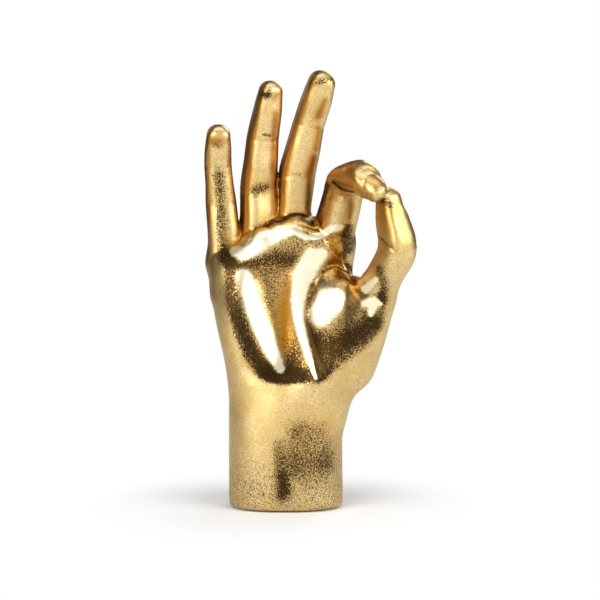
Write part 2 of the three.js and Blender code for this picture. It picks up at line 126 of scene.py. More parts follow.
def egg(middle, along, half_sizes, facing=(0, -1, 0)):
    """an egg: its box's corners and its distances. Half sizes are along, across and to the facing side"""
    middle = np.array(middle, float)
    along = unit(along)
    to_front = unit(np.array(facing) - along * np.dot(facing, along))
    turned = np.array((along, np.cross(along, to_front), to_front))
    sizes = np.array(half_sizes, float)
    reach = np.sqrt(((turned * sizes[:, None]) ** 2).sum(0))

    def form(x, y, z):
        near = (x - middle[0], y - middle[1], z - middle[2])
        inner = [sum(row[i] * near[i] for i in range(3)) for row in turned]
        ratio = np.sqrt(sum((part / size) ** 2 for part, size in zip(inner, sizes)))
        slope = np.sqrt(sum((part / size ** 2) ** 2 for part, size in zip(inner, sizes)))
        return ratio * (ratio - 1) / np.maximum(slope, 1e-5)

    return middle - reach, middle + reach, form


def roll(points, girths, fillet=0.4):
    """a round roll of clay along points, with a girth at each"""
    points = np.array(points, float)
    reach = max(girths)

    def form(x, y, z):
        skin = far_outside
        for start, end, low, high in zip(points[:-1], points[1:], girths[:-1], girths[1:]):
            step = end - start
            near = (x - start[0], y - start[1], z - start[2])
            t = np.clip(sum(part * way for part, way in zip(near, step)) / np.dot(step, step), 0, 1)
            square = sum((part - t * way) ** 2 for part, way in zip(near, step))
            skin = melt(np.sqrt(square) - low - (high - low) * t, skin, fillet)
        return skin

    return points.min(0) - reach, points.max(0) + reach, form


def smooth_between(station, values):
    """values given at stations 0, 1, 2 and so on, joined by a smooth curve"""
    values = np.array(values, float)
    i = np.clip(np.floor(station).astype(int), 0, len(values) - 2)
    t = station - i
    slope = np.gradient(values)
    return (
        (2 * t ** 3 - 3 * t ** 2 + 1) * values[i]
        + (t ** 3 - 2 * t ** 2 + t) * slope[i]
        + (3 * t ** 2 - 2 * t ** 3) * values[i + 1]
        + (t ** 3 - t ** 2) * slope[i + 1]
    )


# Joints are the knuckle, the two finger joints and the middle of the tip. Girths are radii at each
# joint and halfway between, and flatness is depth as a share of breadth. Palmar is where the pads of
# each of the three bones face. A nail is given where it isn't the usual one.
fingers = {
    "little": dict(
        joints=((-37.1, 4, 149.8), (-40.0, 4, 185.8), (-41.9, 0, 210.2), (-40.9, -8, 226.6)),
        girths=(10.3, 9.3, 9.0, 8.1, 7.9, 7.6, 6.8), flatness=0.92,
        palmar=((0.1, -1, 0), (0.1, -1, 0), (0.1, -1, 0))),
    "ring": dict(
        joints=((-17.0, 4, 155.8), (-17.2, 4, 197.2), (-14.5, -1, 225.9), (-9.7, -9, 252.9)),
        girths=(11.2, 10.5, 10.1, 9.3, 8.8, 7.9, 6.6), flatness=0.92,
        palmar=((0.4, -1, 0), (0.4, -1, 0), (0.4, -1, 0))),
    "middle": dict(
        joints=((2.6, 4, 162.8), (6.0, 2, 203.6), (13.4, -4, 234.4), (20.8, -13, 257.9)),
        girths=(11.0, 9.4, 10.3, 9.6, 8.8, 8.5, 7.6), flatness=0.92,
        palmar=((0.3, -1, 0), (0.3, -1, 0), (0.3, -1, 0))),
    "index": dict(
        joints=((25.9, 3, 158.3), (35.8, -18, 200.6), (43.0, -41, 204.4), (52.4, -50.5, 195.3)),
        girths=(12.5, 11.1, 10.3, 9.2, 8.6, 8.0, 6.0), flatness=0.95, nail=(8.2, 0.86, 5.45),
        palmar=((0.26, -0.85, -0.47), (0.42, 0, -0.9), (0, 0.75, -0.66))),
    "thumb": dict(
        joints=((38.0, -4, 86.8), (52.4, -26, 131.9), (66.2, -46, 160.8), (59.8, -45, 190.3)),
        girths=(12.4, 12.0, 11.2, 9.6, 10.4, 9.0, 6.8), flatness=0.93,
        palmar=((-0.8, -0.5, 0.1), (-0.8, -0.5, 0.1), (-0.8, -0.5, 0.1))),
}
# A joint bends over this far on each side, but over no more than this share of a bone
bend_reach = 9.0
bend_share = 0.45
bend_steps = 6


def centre_line(joints):
    """points along the bones, rounded at the joints, and the station of each: 0 at the first joint,
    then 2 for each bone"""
    joints = [np.array(joint, float) for joint in joints]
    lengths = [np.linalg.norm(b - a) for a, b in zip(joints[:-1], joints[1:])]
    ways = [unit(b - a) for a, b in zip(joints[:-1], joints[1:])]
    reach = [min(bend_reach, bend_share * a, bend_share * b) for a, b in zip(lengths[:-1], lengths[1:])]
    reach = [0] + reach + [0]
    points, stations = [], []
    for i, (length, way) in enumerate(zip(lengths, ways)):
        for distance in (reach[i], length - reach[i + 1]):
            points.append(joints[i] + way * distance)
            stations.append(2 * i + 2 * distance / length)
        if i + 1 < len(lengths):
            before = joints[i + 1] - way * reach[i + 1]
            after = joints[i + 1] + ways[i + 1] * reach[i + 1]
            for t in np.linspace(0, 1, bend_steps + 2)[1:-1]:
                points.append((1 - t) ** 2 * before + 2 * t * (1 - t) * joints[i + 1] + t * t * after)
                bone = length if t < 0.5 else lengths[i + 1]
                stations.append(2 * (i + 1) + (2 * t - 1) * 2 * reach[i + 1] / bone)
    return np.array(points), np.array(stations), lengths


def bump(distance, width):
    """1 at no distance, and a soft fall to nothing over about two widths"""
    return np.exp(-((distance / width) ** 2))


# Soft pads in front and knobbly joints behind, as station, width in stations, and share of the girth
pad_swells = ((1.25, 0.55, 0.07), (3.0, 0.55, 0.06), (5.25, 0.6, 0.08))
back_swells = ((2.0, 0.35, 0.06), (4.0, 0.25, 0.03), (5.6, 0.5, -0.05))
# Creases pressed across the front of a joint, and shallower ones across its back, as station and depth
front_creases = ((1.95, 0.35), (2.12, 0.2), (3.97, 0.3))
back_creases = ((1.8, 0.3), (2.0, 0.45), (2.2, 0.3), (4.0, 0.3), (4.2, 0.2))
crease_width = 1.1
# A finger's section is squarer than a circle, and its front and back reach well round to the sides
finger_squareness = 3.0
front_breadth = 1.4
extra_girth = 0.35
widest_swell = 1.15
# Each nail lies in a bed with a fold of skin round it. It's given as half its length, half its width as
# a share of the girth, and the station of its middle. Rims are in half sizes of the nail: the bed ends
# just past 1, and the fold runs round outside it and stops short of the fingertip
usual_nail = (6.4, 0.72, 5.55)
nail_bed_depth = 0.7
nail_bed_rim = 1.05
nail_bed_slope = 6
nail_fold_height = 0.22
nail_fold_rim = 1.25
nail_fold_width = 0.16
nail_fold_end = 4


def finger_form(finger):
    """a finger: the corners of its box and its distances"""
    points, stations, lengths = centre_line(finger["joints"])
    girths = finger["girths"]
    nail_half_length, nail_half_width, nail_station = finger.get("nail", usual_nail)
    reach = max(girths) * widest_swell

    def form(x, y, z):
        nearest = None
        for i, (start, end) in enumerate(zip(points[:-1], points[1:])):
            step = end - start
            along = unit(step)
            share = np.clip((stations[i] + stations[i + 1]) / 4 - 0.5, 0, 2)
            before = int(share)
            after = min(before + 1, 2)
            palmar = np.array(finger["palmar"][before]) * (1 - share + before)
            palmar = palmar + np.array(finger["palmar"][after]) * (share - before)
            front = unit(palmar - along * np.dot(palmar, along))
            side = np.cross(along, front)
            near = (x - start[0], y - start[1], z - start[2])
            t = np.clip(sum(part * way for part, way in zip(near, step)) / np.dot(step, step), 0, 1)
            near = [part - t * way for part, way in zip(near, step)]
            square = sum(part ** 2 for part in near)
            found = [square, stations[i] + (stations[i + 1] - stations[i]) * t]
            for way in (front, side, along):
                found.append(sum(part * share for part, share in zip(near, way)))
            if nearest is None:
                nearest = found
            else:
                closer = square < nearest[0]
                nearest = [np.where(closer, new, old) for new, old in zip(found, nearest)]
        _, station, ahead, across, beyond = nearest
        girth = smooth_between(station, girths) + extra_girth
        ahead = ahead / finger["flatness"]
        cross = (np.abs(ahead) ** finger_squareness + np.abs(across) ** finger_squareness)
        cross = cross ** (1 / finger_squareness)
        facing = ahead / np.maximum(np.sqrt(ahead ** 2 + across ** 2), 0.001)
        in_front = np.clip(facing * front_breadth, 0, 1) ** 2
        behind = np.clip(-facing * front_breadth, 0, 1) ** 2
        for middle, width, share in pad_swells:
            girth = girth + girths[int(middle)] * share * bump(station - middle, width) * in_front
        for middle, width, share in back_swells:
            girth = girth + girths[int(middle)] * share * bump(station - middle, width) * behind
        bone = np.array(lengths)[np.clip(station / 2, 0, 2).astype(int)] / 2
        for middle, depth in front_creases:
            girth = girth - depth * bump((station - middle) * bone, crease_width) * np.sqrt(in_front)
        for middle, depth in back_creases:
            girth = girth - depth * bump((station - middle) * bone, crease_width) * behind
        last = (station - nail_station) * lengths[-1] / 2 + beyond
        rim = np.sqrt((last / nail_half_length) ** 2 + (across / (nail_half_width * girths[5])) ** 2)
        on_back = (ahead < 0) & (station > 4)
        girth = girth - on_back * nail_bed_depth * np.clip((nail_bed_rim - rim) * nail_bed_slope, 0, 1)
        fold = bump(rim - nail_fold_rim, nail_fold_width)
        fold = fold * np.clip(-ahead / 3, 0, 1) * np.clip((nail_fold_end - last) / 2, 0, 1)
        girth = girth + on_back * nail_fold_height * fold
        return np.sqrt(cross ** 2 + beyond ** 2) - girth

    return points.min(0) - reach, points.max(0) + reach, form


# Wrist and palm: sections up the hand, as height, half width, half depth, middle across, middle back
sections = np.array((
    (0, 34.7, 25.2, -0.6, 0),
    (40, 34.5, 25.0, -0.8, 0),
    (70, 34.6, 23.5, -0.6, 0),
    (95, 34.5, 18.5, -1.0, 1.0),
    (120, 38.3, 16.5, -3.6, 1.5),
    (145, 43.5, 15.0, -4.4, 2.5),
    (165, 41.5, 11.5, -4.0, 4.0),
))
squareness = 2.3
palm_top = 164.0
palm_top_middle = 8.0
palm_top_curve = 0.010
palm_top_fillet = 9


def wrist_and_palm(x, y, z):
    station = np.interp(z, sections[:, 0], np.arange(len(sections)))
    here = [smooth_between(station, sections[:, i]) for i in range(1, 5)]
    half_width, half_depth, across, back = here
    u = np.abs(x - across) / half_width
    v = np.abs(y - back) / half_depth
    ratio = np.maximum((u ** squareness + v ** squareness) ** (1 / squareness), 1e-4)
    power = squareness - 1
    slope = np.sqrt((u ** power / half_width) ** 2 + (v ** power / half_depth) ** 2)
    side = (ratio - 1) / np.maximum(slope * ratio ** -power, 1e-4)
    top = z - (palm_top - palm_top_curve * (x - palm_top_middle) ** 2)
    return -melt(-side, -top, palm_top_fillet)


palm = new_clay()
add(palm, (-48, -26, -2), (44, 26, 170), wrist_and_palm, 0)

# The palm's bones fan out to the knuckles from a row above the wrist, where they lie closer together
bone_root_height = 92.8
bone_root_share = 0.42
long_fingers = ("little", "ring", "middle", "index")
for name in long_fingers:
    knuckle = np.array(fingers[name]["joints"][0])
    root = (bone_root_share * knuckle[0] - 1, 3, bone_root_height)
    girth = fingers[name]["girths"][0]
    add(palm, *roll((root, knuckle), (12, girth)), 8)
    add(palm, *egg(knuckle + (0, 7.5, 1), (0, 0, 1), (8, 6.5, 6)), 5)

# The fleshy edge of the palm, the ball of the thumb and the heel under it
add(palm, *egg((-26, -7, 109.8), (-0.16, 0, 1), (40, 13.5, 14.5)), 12)
add(palm, *roll(((-38.5, 3, 148), (-36.2, 1, 130)), (9.0, 9.6)), 3)
thumb_root, thumb_knuckle = (np.array(joint, float) for joint in fingers["thumb"]["joints"][:2])
thumb_bone = thumb_knuckle - thumb_root
add(palm, *roll((thumb_root, thumb_knuckle), (10.5, 10.0)), 9)
add(palm, *roll((thumb_root, np.array((26.6, -3, 58.8))), (9.0, 7.4)), 12)
add(palm, *egg((32.3, -9.5, 108), (0.35, -0.2, 0.92), (36, 25.0, 15)), 11)
add(palm, *egg((22, -5, 80.8), (0.55, -0.1, 0.8), (26, 12, 15)), 14)

# The web between the thumb and the index finger
index_root = np.array((10, 2, bone_root_height))
index_bone = np.array(fingers["index"]["joints"][0]) - index_root
for share in (0.35, 0.55, 0.75):
    web_ends = (index_root + index_bone * (share + 0.02), thumb_root + thumb_bone * share)
    add(palm, *roll(web_ends, (7, 7)), 8)

# The ridge of pads at the roots of the fingers, and the hollow of the palm below it
pad_ridge = (
    (-33, -2, 146), (-24, -2.5, 151), (-15, -3, 159.5), (-2, -3, 165), (5, -3, 167), (12, -3, 164.5),
    (21, -3, 163), (30, -2.5, 163),
)
add(palm, *roll(pad_ridge, (11, 11, 12, 12, 12, 12, 12, 11), fillet=3), 8)
take_away(palm, *egg((-1, -62, 116), (0.12, 0, 1), (58, 46.5, 40), facing=(1, 0, 0)), 12)


# Strokes are drawn on the hand's front and fade out towards this depth
stroke_back = -4.0
stroke_fade = 6
stroke_steps = 5


def stroke(clay, line, height, width):
    """raises a line in the front of the hand, or with a height below zero presses it in. The line's
    points are across and up; height and width may be given for each of them"""
    line = np.array(line, float)
    count = len(line)
    stations = np.linspace(0, count - 1, stroke_steps * (count - 1) + 1)
    heights = np.interp(stations, range(count), np.broadcast_to(height, count))
    widths = np.interp(stations, range(count), np.broadcast_to(width, count))
    line = np.stack([smooth_between(stations, line[:, i]) for i in (0, 1)], 1)
    reach = 2.5 * widths.max()
    low = (line[:, 0].min() - reach, block_low[1], line[:, 1].min() - reach)
    high = (line[:, 0].max() + reach, stroke_back + stroke_fade, line[:, 1].max() + reach)
    spans, (x, y, z) = around(low, high, 0)
    lift = 0.0
    for i, (start, end) in enumerate(zip(line[:-1], line[1:])):
        step = end - start
        t = np.clip(((x - start[0]) * step[0] + (z - start[1]) * step[1]) / np.dot(step, step), 0, 1)
        square = (x - start[0] - t * step[0]) ** 2 + (z - start[1] - t * step[1]) ** 2
        here = widths[i] + (widths[i + 1] - widths[i]) * t
        mark = (heights[i] + (heights[i + 1] - heights[i]) * t) * np.exp(-square / here ** 2)
        lift = np.where(np.abs(mark) > np.abs(lift), mark, lift)
    clay[spans] -= lift * np.clip((stroke_back + stroke_fade - y) / stroke_fade, 0, 1)


# The crest of the palm's fleshy edge slants down to the heel, and a softer one follows the thumb's ball
stroke(palm, ((-28, 146), (-23, 128), (-16, 106), (-9, 88)), (0.5, 1.0, 1.2, 0.6), (9, 9, 9, 7))
stroke(palm, ((17, 153), (9.5, 143), (6.5, 131), (6.5, 119), (9.5, 102), (16, 84)),
       (0.8, 1.3, 1.3, 1.3, 1.0, 0.4), (8, 6.5, 5, 4.5, 4, 3.5))

raised = new_clay()
for name in long_fingers:
    finger = new_clay()
    add(finger, *finger_form(fingers[name]), 0)
    raised = melt(raised, finger, 1.2)
thumb = new_clay()
add(thumb, *finger_form(fingers["thumb"]), 0)

# Behind, the fingers grow smoothly out of the hand. In front, the palm's pads end in a crease
crease_fillet = 0.8
smooth_fillet = 7.0
front_to_back = block_axes[1][None, :, None]
crease_to_smooth = np.interp(front_to_back, (-5, 4), (crease_fillet, smooth_fillet))
clay = melt(raised, palm, crease_to_smooth)
clay = melt(clay, melt(thumb, palm, smooth_fillet), crease_fillet)

# Lines of the palm: round the ball of the thumb, across under the pads and between them
ball_line = (
    (38, 150), (29.5, 150), (21.5, 144.5), (16, 137), (12.8, 125), (13.3, 113), (16, 101), (20, 88),
)
stroke(clay, ball_line, (-0.4, -0.7, -0.7, -0.7, -0.7, -0.7, -0.6, -0.3), 2.4)
stroke(clay, ((-34, 151), (-19, 151), (-2, 158), (8, 163)), (-0.2, -0.3, -0.3, -0.2), 2.6)
stroke(clay, ((8, 172.5), (16.4, 169.5), (25.4, 168)), (-0.3, -0.6, -0.4), 1.2)

# The crease where the pads end follows the fingers' roots in steps. The heel stands up from the wrist
root_crease = (
    (-22, 163.5), (-20.1, 169), (-16.8, 172.3), (-11.2, 172.3), (-8.3, 175.3), (-3.9, 175),
    (1.6, 178.7), (7, 179.7), (12.6, 177.7), (16.6, 173),
)
stroke(clay, ((-28, 162.5),) + root_crease, -0.45, 1.1)
stroke(clay, ((-18, 80), (-6, 78.5), (8, 78.5), (16, 80)), (0.4, 1.5, 1.5, 0.5), 6)

# Folds of the web between thumb and index finger
stroke(clay, ((21, 167), (28.4, 160), (34.4, 153.4)), (-0.4, -0.9, -0.6), 1.2)
stroke(clay, ((30.7, 149.2), (39, 141), (46.6, 134.3)), (-0.5, -1.0, -0.6), 1.3)
stroke(clay, ((34, 152), (41, 146), (47, 141)), (-0.3, -0.8, -0.4), 1.1)

# Folds across the inside of the index finger's and the thumb's joints
index_fold = ((27.3, 199.6), (31.8, 195.8), (39.5, 193.8))
stroke(clay, ((28.2, 200.2), (32.4, 197.6), (37.8, 197.2)), (-0.6, -1.0, -0.5), 1.0)
stroke(clay, index_fold, (-0.7, -1.2, -0.8), 1.1)
stroke(clay, ((55.6, 167), (60, 163.2), (63.7, 160.6)), (-0.8, -0.9, -0.4), 1.2)

# The foot is cut flat and its edge rubbed round
foot_height = 0.8
foot_edge = 3.5
height = block_axes[2][None, None, :]
clay = -melt(-clay, height - foot_height, foot_edge)

# Under the foot is the rebate for the base plate and the felt
rebate_margin = 5.7
rebate_depth = 5.6


def rebate(x, y, z):
    return np.maximum(wrist_and_palm(x, y, z) + rebate_margin, z - rebate_depth)


take_away(clay, (-36, -26, -2), (35, 26, rebate_depth), rebate, 0)

grid = openvdb.FloatGrid()
grid.copyFromArray(clay.astype(np.float32), tolerance=0)
skin_points, _, skin_quads = grid.convertToPolygons(0.0, 0.0)
skin_points = (skin_points * grain + block_low) * mm

hand_mesh = bpy.data.meshes.new("hand")
hand_mesh.from_pydata(skin_points, [], skin_quads)
shaped = bmesh.new()
shaped.from_mesh(hand_mesh)
bmesh.ops.recalc_face_normals(shaped, faces=shaped.faces)
shaped.to_mesh(hand_mesh)
shaped.free()
hand_mesh.shade_smooth()

# The palm's face is painted darker between its raised places, as painted dark reflection. Its outline is
# across and up
palm_face = (
    (-36, 156), (-37, 128), (-33, 109), (-25, 90), (-12, 78.5), (20, 78.5), (35, 90), (48, 100),
    (57, 112), (60, 124), (56, 135), (44, 136), (37, 152), (36, 172), (20, 175), (5, 180), (-12, 175),
    (-17, 165),
)
face_edge = 4
face_shade = 0.5
# Painted shade, shadow and dark reflections, as lines of points across and up, with a width and a
# strength. All lie on the palm's side
painted_shade_lines = (
    (((-31, 149.5), (-19, 151), (-7, 153), (5.5, 151.5)), 5.0, 0.25),
    (((-36, 151), (-34, 134), (-29, 116), (-21, 98), (-12, 85), (0, 81)), 5.0, 0.45),
    (((18.5, 106), (21, 84)), 4.0, 0.45),
    (((21, 89), (25, 97), (33, 103), (43, 109.5), (51, 116)), 7.0, 0.52),
    (((16, 137), (12.8, 125), (13.3, 113), (16, 101)), 1.6, 0.35),
    (((37.5, 172), (38.3, 158)), 4.0, 0.7),
    (((54.5, 149), (57, 140), (58, 131)), 4.0, 0.75),
    (((-14, 84), (-4, 82), (8, 82), (18, 84)), 4.5, 0.42),
    (((4, 53), (21, 53)), 6.0, 0.37),
    (((8, 45), (21, 43)), 8.5, 0.37),
    (((6, 33), (21, 32)), 8.0, 0.32),
    (((6, 26), (13, 23), (20, 24)), 6.5, 0.2),
    (((2, 45), (3, 36)), 4.0, 0.08),
    (((-2, 13), (-4, 9)), 3.4, 0.22),
    (((26, 34), (26, 28)), 4.0, 0.14),
    (((-5.5, 42), (-4, 28), (-1.5, 13)), 4.6, 0.38),
    (((-2.5, 22), (-1.8, 15)), 2.6, 0.25),
    (((-41, 203), (-39.5, 180), (-38, 154)), 5.2, 0.7),
    (((-19.5, 194), (-11.5, 195)), 4.8, 0.8),
    (((-43.5, 222.7), (-41.5, 222.2)), 3.2, 0.95),
    (((-13, 251), (-10.5, 251.5)), 3.4, 0.88),
    (((-14, 227.3), (-10, 226.6), (-7.5, 227.5)), 1.0, 0.8),
    (((17, 258), (26, 260)), 2.6, 0.7),
    (((57.3, 188.8), (60.2, 187.6)), 3.2, 0.75),
    (((1, 102), (5, 88)), 4.8, 0.42),
    (((2, 204), (8, 203.3)), 1.8, 0.4),
    (((24, 197), (18, 181)), 2.2, 0.75),
    (((55.2, 168), (60, 164), (64, 160.4)), 1.2, 0.6),
    (index_fold, 1.0, 0.85),
    (((63, 183), (68, 168)), 5.0, 0.22),
    (root_crease, 1.0, 0.5),
)
# Painted highlights on raised places, given in the same way, with a width at each point
painted_highlight_lines = (
    (((-26, 143), (-19, 122), (-12, 104), (-4.1, 87)), (4.6, 5.6, 5.0, 3.2)),
    (((14.5, 155.5), (13, 150), (12, 145.5), (9.2, 140), (6.7, 128), (7.2, 116), (10.2, 104),
      (14.2, 91.7), (17.5, 82)),
     (4.5, 6.5, 6.8, 5.6, 4.4, 3.2, 2.7, 1.8, 1.2)),
    (((14, 149), (20.5, 155.5)), (6.0, 4.2)),
    (((20.5, 120), (26.5, 129)), (7.5, 8.5)),
    (((46, 128), (51.5, 129.3), (55.5, 128)), (2.2, 3.2, 1.4)),
    (((51, 127.5), (50, 121.5)), (3.6, 1.6)),
    (((52.5, 143), (46.5, 136)), (1.6, 2.6)),
    (((-31.4, 157), (-24.7, 156.5), (-18.7, 160.5), (-12.6, 165), (-4.1, 168.5), (4.4, 170.5),
      (11.6, 166), (20.1, 166.5), (27, 171.5), (32.2, 172)),
     (3.2, 4.5, 5.4, 5.8, 4.4, 2.8, 1.8, 2.0, 2.4, 2.2)),
)
# Painted shade, in deep gold: in hollows, under the pads and along the fingers' sides
deep_gold_shade = (
    (((3, 138), (-1.5, 124), (-1.5, 100)), 5.5, 1.0),
    (((27.5, 165.5), (31.5, 153)), 4.4, 0.95),
    (((25.5, 150), (36, 141), (46, 133.5)), 4.0, 0.85),
    (((-45.5, 155), (-44, 128)), 2.0, 0.6),
    (((-43.5, 224), (-40.5, 223)), 3.4, 0.9),
    (((-7.5, 249), (-5, 252.5)), 1.8, 0.7),
    (((-6.8, 240), (-8, 228), (-8.5, 215), (-8.6, 205)), 1.7, 0.85),
    (((-2, 173), (6, 174.5), (13, 171)), 3.2, 0.5),
    (((23, 248), (18.5, 238)), 1.9, 0.95),
    (((19.3, 230), (17.5, 219)), 2.1, 1.0),
    (((16, 213), (12.8, 203)), 2.9, 0.95),
    (((13.2, 198), (13.2, 186)), 1.6, 0.8),
    (((54.5, 184), (55.5, 172), (60, 162)), 3.4, 0.75),
    (((64, 183), (69, 168)), 5.5, 0.38),
    (((56.5, 161), (50, 151.5), (43, 144.5)), 2.7, 0.75),
    (((38.5, 190), (37.5, 178)), 1.7, 0.8),
    (((11, 172.5), (25, 171)), 2.5, 0.8),
    (((-33, 161), (-22, 163), (-17, 172)), 2.0, 0.6),
)


def nearest_on(line, places):
    """squared distance to a line across and up, and the station on it"""
    line = np.array(line, float)
    nearest = np.full(len(places), 1e6)
    station = np.zeros(len(places))
    for i, (start, step) in enumerate(zip(line[:-1], np.diff(line, axis=0))):
        t = np.clip((places - start) @ step / (step @ step), 0, 1)
        square = ((places - start - t[:, None] * step) ** 2).sum(1)
        station = np.where(square < nearest, i + t, station)
        nearest = np.minimum(nearest, square)
    return nearest, station


# Each point of the skin, where it faces, and its place across and up
skin = np.empty(len(hand_mesh.vertices) * 3, np.float32)
hand_mesh.vertices.foreach_get("co", skin)
skin = skin.reshape(-1, 3) / mm
facing = np.empty(len(hand_mesh.vertices) * 3, np.float32)
hand_mesh.vertices.foreach_get("normal", facing)
facing = facing.reshape(-1, 3)
# The lines lie on the front alone, and fade out where the skin turns to the sides or the back
in_front = np.clip(-facing[:, 1] * 2 + 0.3, 0, 1) * np.clip((2 - skin[:, 1]) / 8, 0, 1)

places = skin[:, ::2].astype(float)
edge, _ = nearest_on(palm_face + palm_face[:1], places)
inside = np.zeros(len(skin), bool)
for (x0, z0), (x1, z1) in zip(palm_face, palm_face[1:] + palm_face[:1]):
    crosses = (z0 > places[:, 1]) != (z1 > places[:, 1])
    inside ^= crosses & (places[:, 0] < (x1 - x0) * (places[:, 1] - z0) / (z1 - z0 + 1e-9) + x0)
shine = np.clip(0.5 + np.where(inside, 1, -1) * np.sqrt(edge) / face_edge, 0, 1)
shade_and_darkening = face_shade * shine
deep_shade = np.zeros(len(skin))
painted_highlight = np.zeros(len(skin))
for line, width, strength in painted_shade_lines:
    shade_and_darkening = shade_and_darkening + strength * np.exp(-nearest_on(line, places)[0] / width ** 2)
for line, width, strength in deep_gold_shade:
    deep_shade = np.maximum(deep_shade, strength * np.exp(-nearest_on(line, places)[0] / width ** 2))
for line, widths in painted_highlight_lines:
    square, station = nearest_on(line, places)
    width = np.interp(station, range(len(widths)), widths)
    painted_highlight = np.maximum(painted_highlight, np.exp(-(square / width ** 2) ** 1.5))
shade_and_darkening *= in_front * (1 - painted_highlight) * (1 - 0.6 * deep_shade)
deep_shade *= in_front
painted_highlight *= in_front
shine *= in_front

# Painted shade: the leaf is deeper in colour in folds and between the fingers, where the skin is hollow
fold_rounds = 3
hollow_rounds = 24


def hollowness(rounds):
    """how far the skin lies under the same clay when that is rubbed soft in so many rounds"""
    soft = clay.copy()
    for _ in range(rounds):
        for axis in range(3):
            soft = (np.roll(soft, 1, axis) + soft + np.roll(soft, -1, axis)) / 3
    cells = np.clip(np.round((skin - block_low) / grain).astype(int), 0, np.array(clay.shape) - 1)
    return (clay - soft)[tuple(cells.T)]


# Painted shade in creases, and an amber tone that deepens as painted shade in hollows and where the palm
# is painted dark
fold = np.clip(hollowness(fold_rounds) * 2, 0, 1)
amber_tone_and_shade = np.clip(hollowness(hollow_rounds) * 0.45 + 0.2 + 0.7 * shade_and_darkening, 0, 1) * (1 - painted_highlight)

# Painted shade: the fingers' sides that face away from the thumb are a deeper gold than their fronts. So
# is the wrist's, faintly
upright = np.clip((skin[:, 2] - 145) / 30, 0, 1)
shaded_side = np.clip(-facing[:, 0] * (2.6 + 2.4 * upright) - 1.0 + 0.2 * upright, 0, 1)
shaded_side = shaded_side * (0.2 + 0.8 * upright)
deep_shade = np.maximum(deep_shade, 0.85 * shaded_side) * (1 - painted_highlight)

# The foot is dull and spotted and grows darker towards the bottom, and the edges of the fingers on the
# side that faces away get painted shade
foot_darkening = 0.42
most_darkening = 0.94
shade_and_darkening = shade_and_darkening + foot_darkening * np.clip((56 - skin[:, 2]) / 40, 0, 1)
shade_and_darkening = np.minimum(shade_and_darkening + 0.5 * upright * np.clip(-facing[:, 0] * 6 - 4.8, 0, 1), most_darkening)


def paint(mesh, name, values):
    """lays a value on each point of a mesh, for the material to read"""
    layer = mesh.attributes.new(name, "FLOAT", "POINT")
    layer.data.foreach_set("value", values.astype(np.float32))


for name, values in (("shade_and_darkening", shade_and_darkening), ("fold", fold), ("amber_tone_and_shade", amber_tone_and_shade), ("deep_shade", deep_shade), ("shine", shine),
                     ("painted_highlight", painted_highlight)):
    paint(hand_mesh, name, values)

hand = bpy.data.objects.new("hand", hand_mesh)
bpy.context.collection.objects.link(hand)
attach(hand, "root")
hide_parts("hand_casting")

# Fine grain, an effect that every finish here has: noise between two levels
grain_group = bpy.data.node_groups.new("fine_grain", "ShaderNodeTree")
grain_group.interface.new_socket("Vector", in_out="INPUT", socket_type="NodeSocketVector")
for socket_name in ("Scale", "Detail", "Low", "High"):
    grain_group.interface.new_socket(socket_name, in_out="INPUT", socket_type="NodeSocketFloat")
grain_group.interface.new_socket("Amount", in_out="OUTPUT", socket_type="NodeSocketFloat")
grain_in = grain_group.nodes.new("NodeGroupInput")
grain_out = grain_group.nodes.new("NodeGroupOutput")
grain_noise = grain_group.nodes.new("ShaderNodeTexNoise")
grain_noise.inputs["Roughness"].default_value = 0.7
grain_range = grain_group.nodes.new("ShaderNodeMapRange")
for socket_name in ("Vector", "Scale", "Detail"):
    grain_group.links.new(grain_in.outputs[socket_name], grain_noise.inputs[socket_name])
grain_group.links.new(grain_in.outputs["Low"], grain_range.inputs["From Min"])
grain_group.links.new(grain_in.outputs["High"], grain_range.inputs["From Max"])
grain_group.links.new(grain_noise.outputs["Fac"], grain_range.inputs["Value"])
grain_group.links.new(grain_range.outputs["Result"], grain_out.inputs["Amount"])


def soft_range(tree, value, low, high, to_low=0.0, to_high=1.0):
    """a node that spreads the values from low to high over those from to_low to to_high, softly"""
    node = tree.nodes.new("ShaderNodeMapRange")
    node.interpolation_type = "SMOOTHSTEP"
    node.inputs["From Min"].default_value = low
    node.inputs["From Max"].default_value = high
    node.inputs["To Min"].default_value = to_low
    node.inputs["To Max"].default_value = to_high
    tree.links.new(value, node.inputs["Value"])
    return node.outputs["Result"]


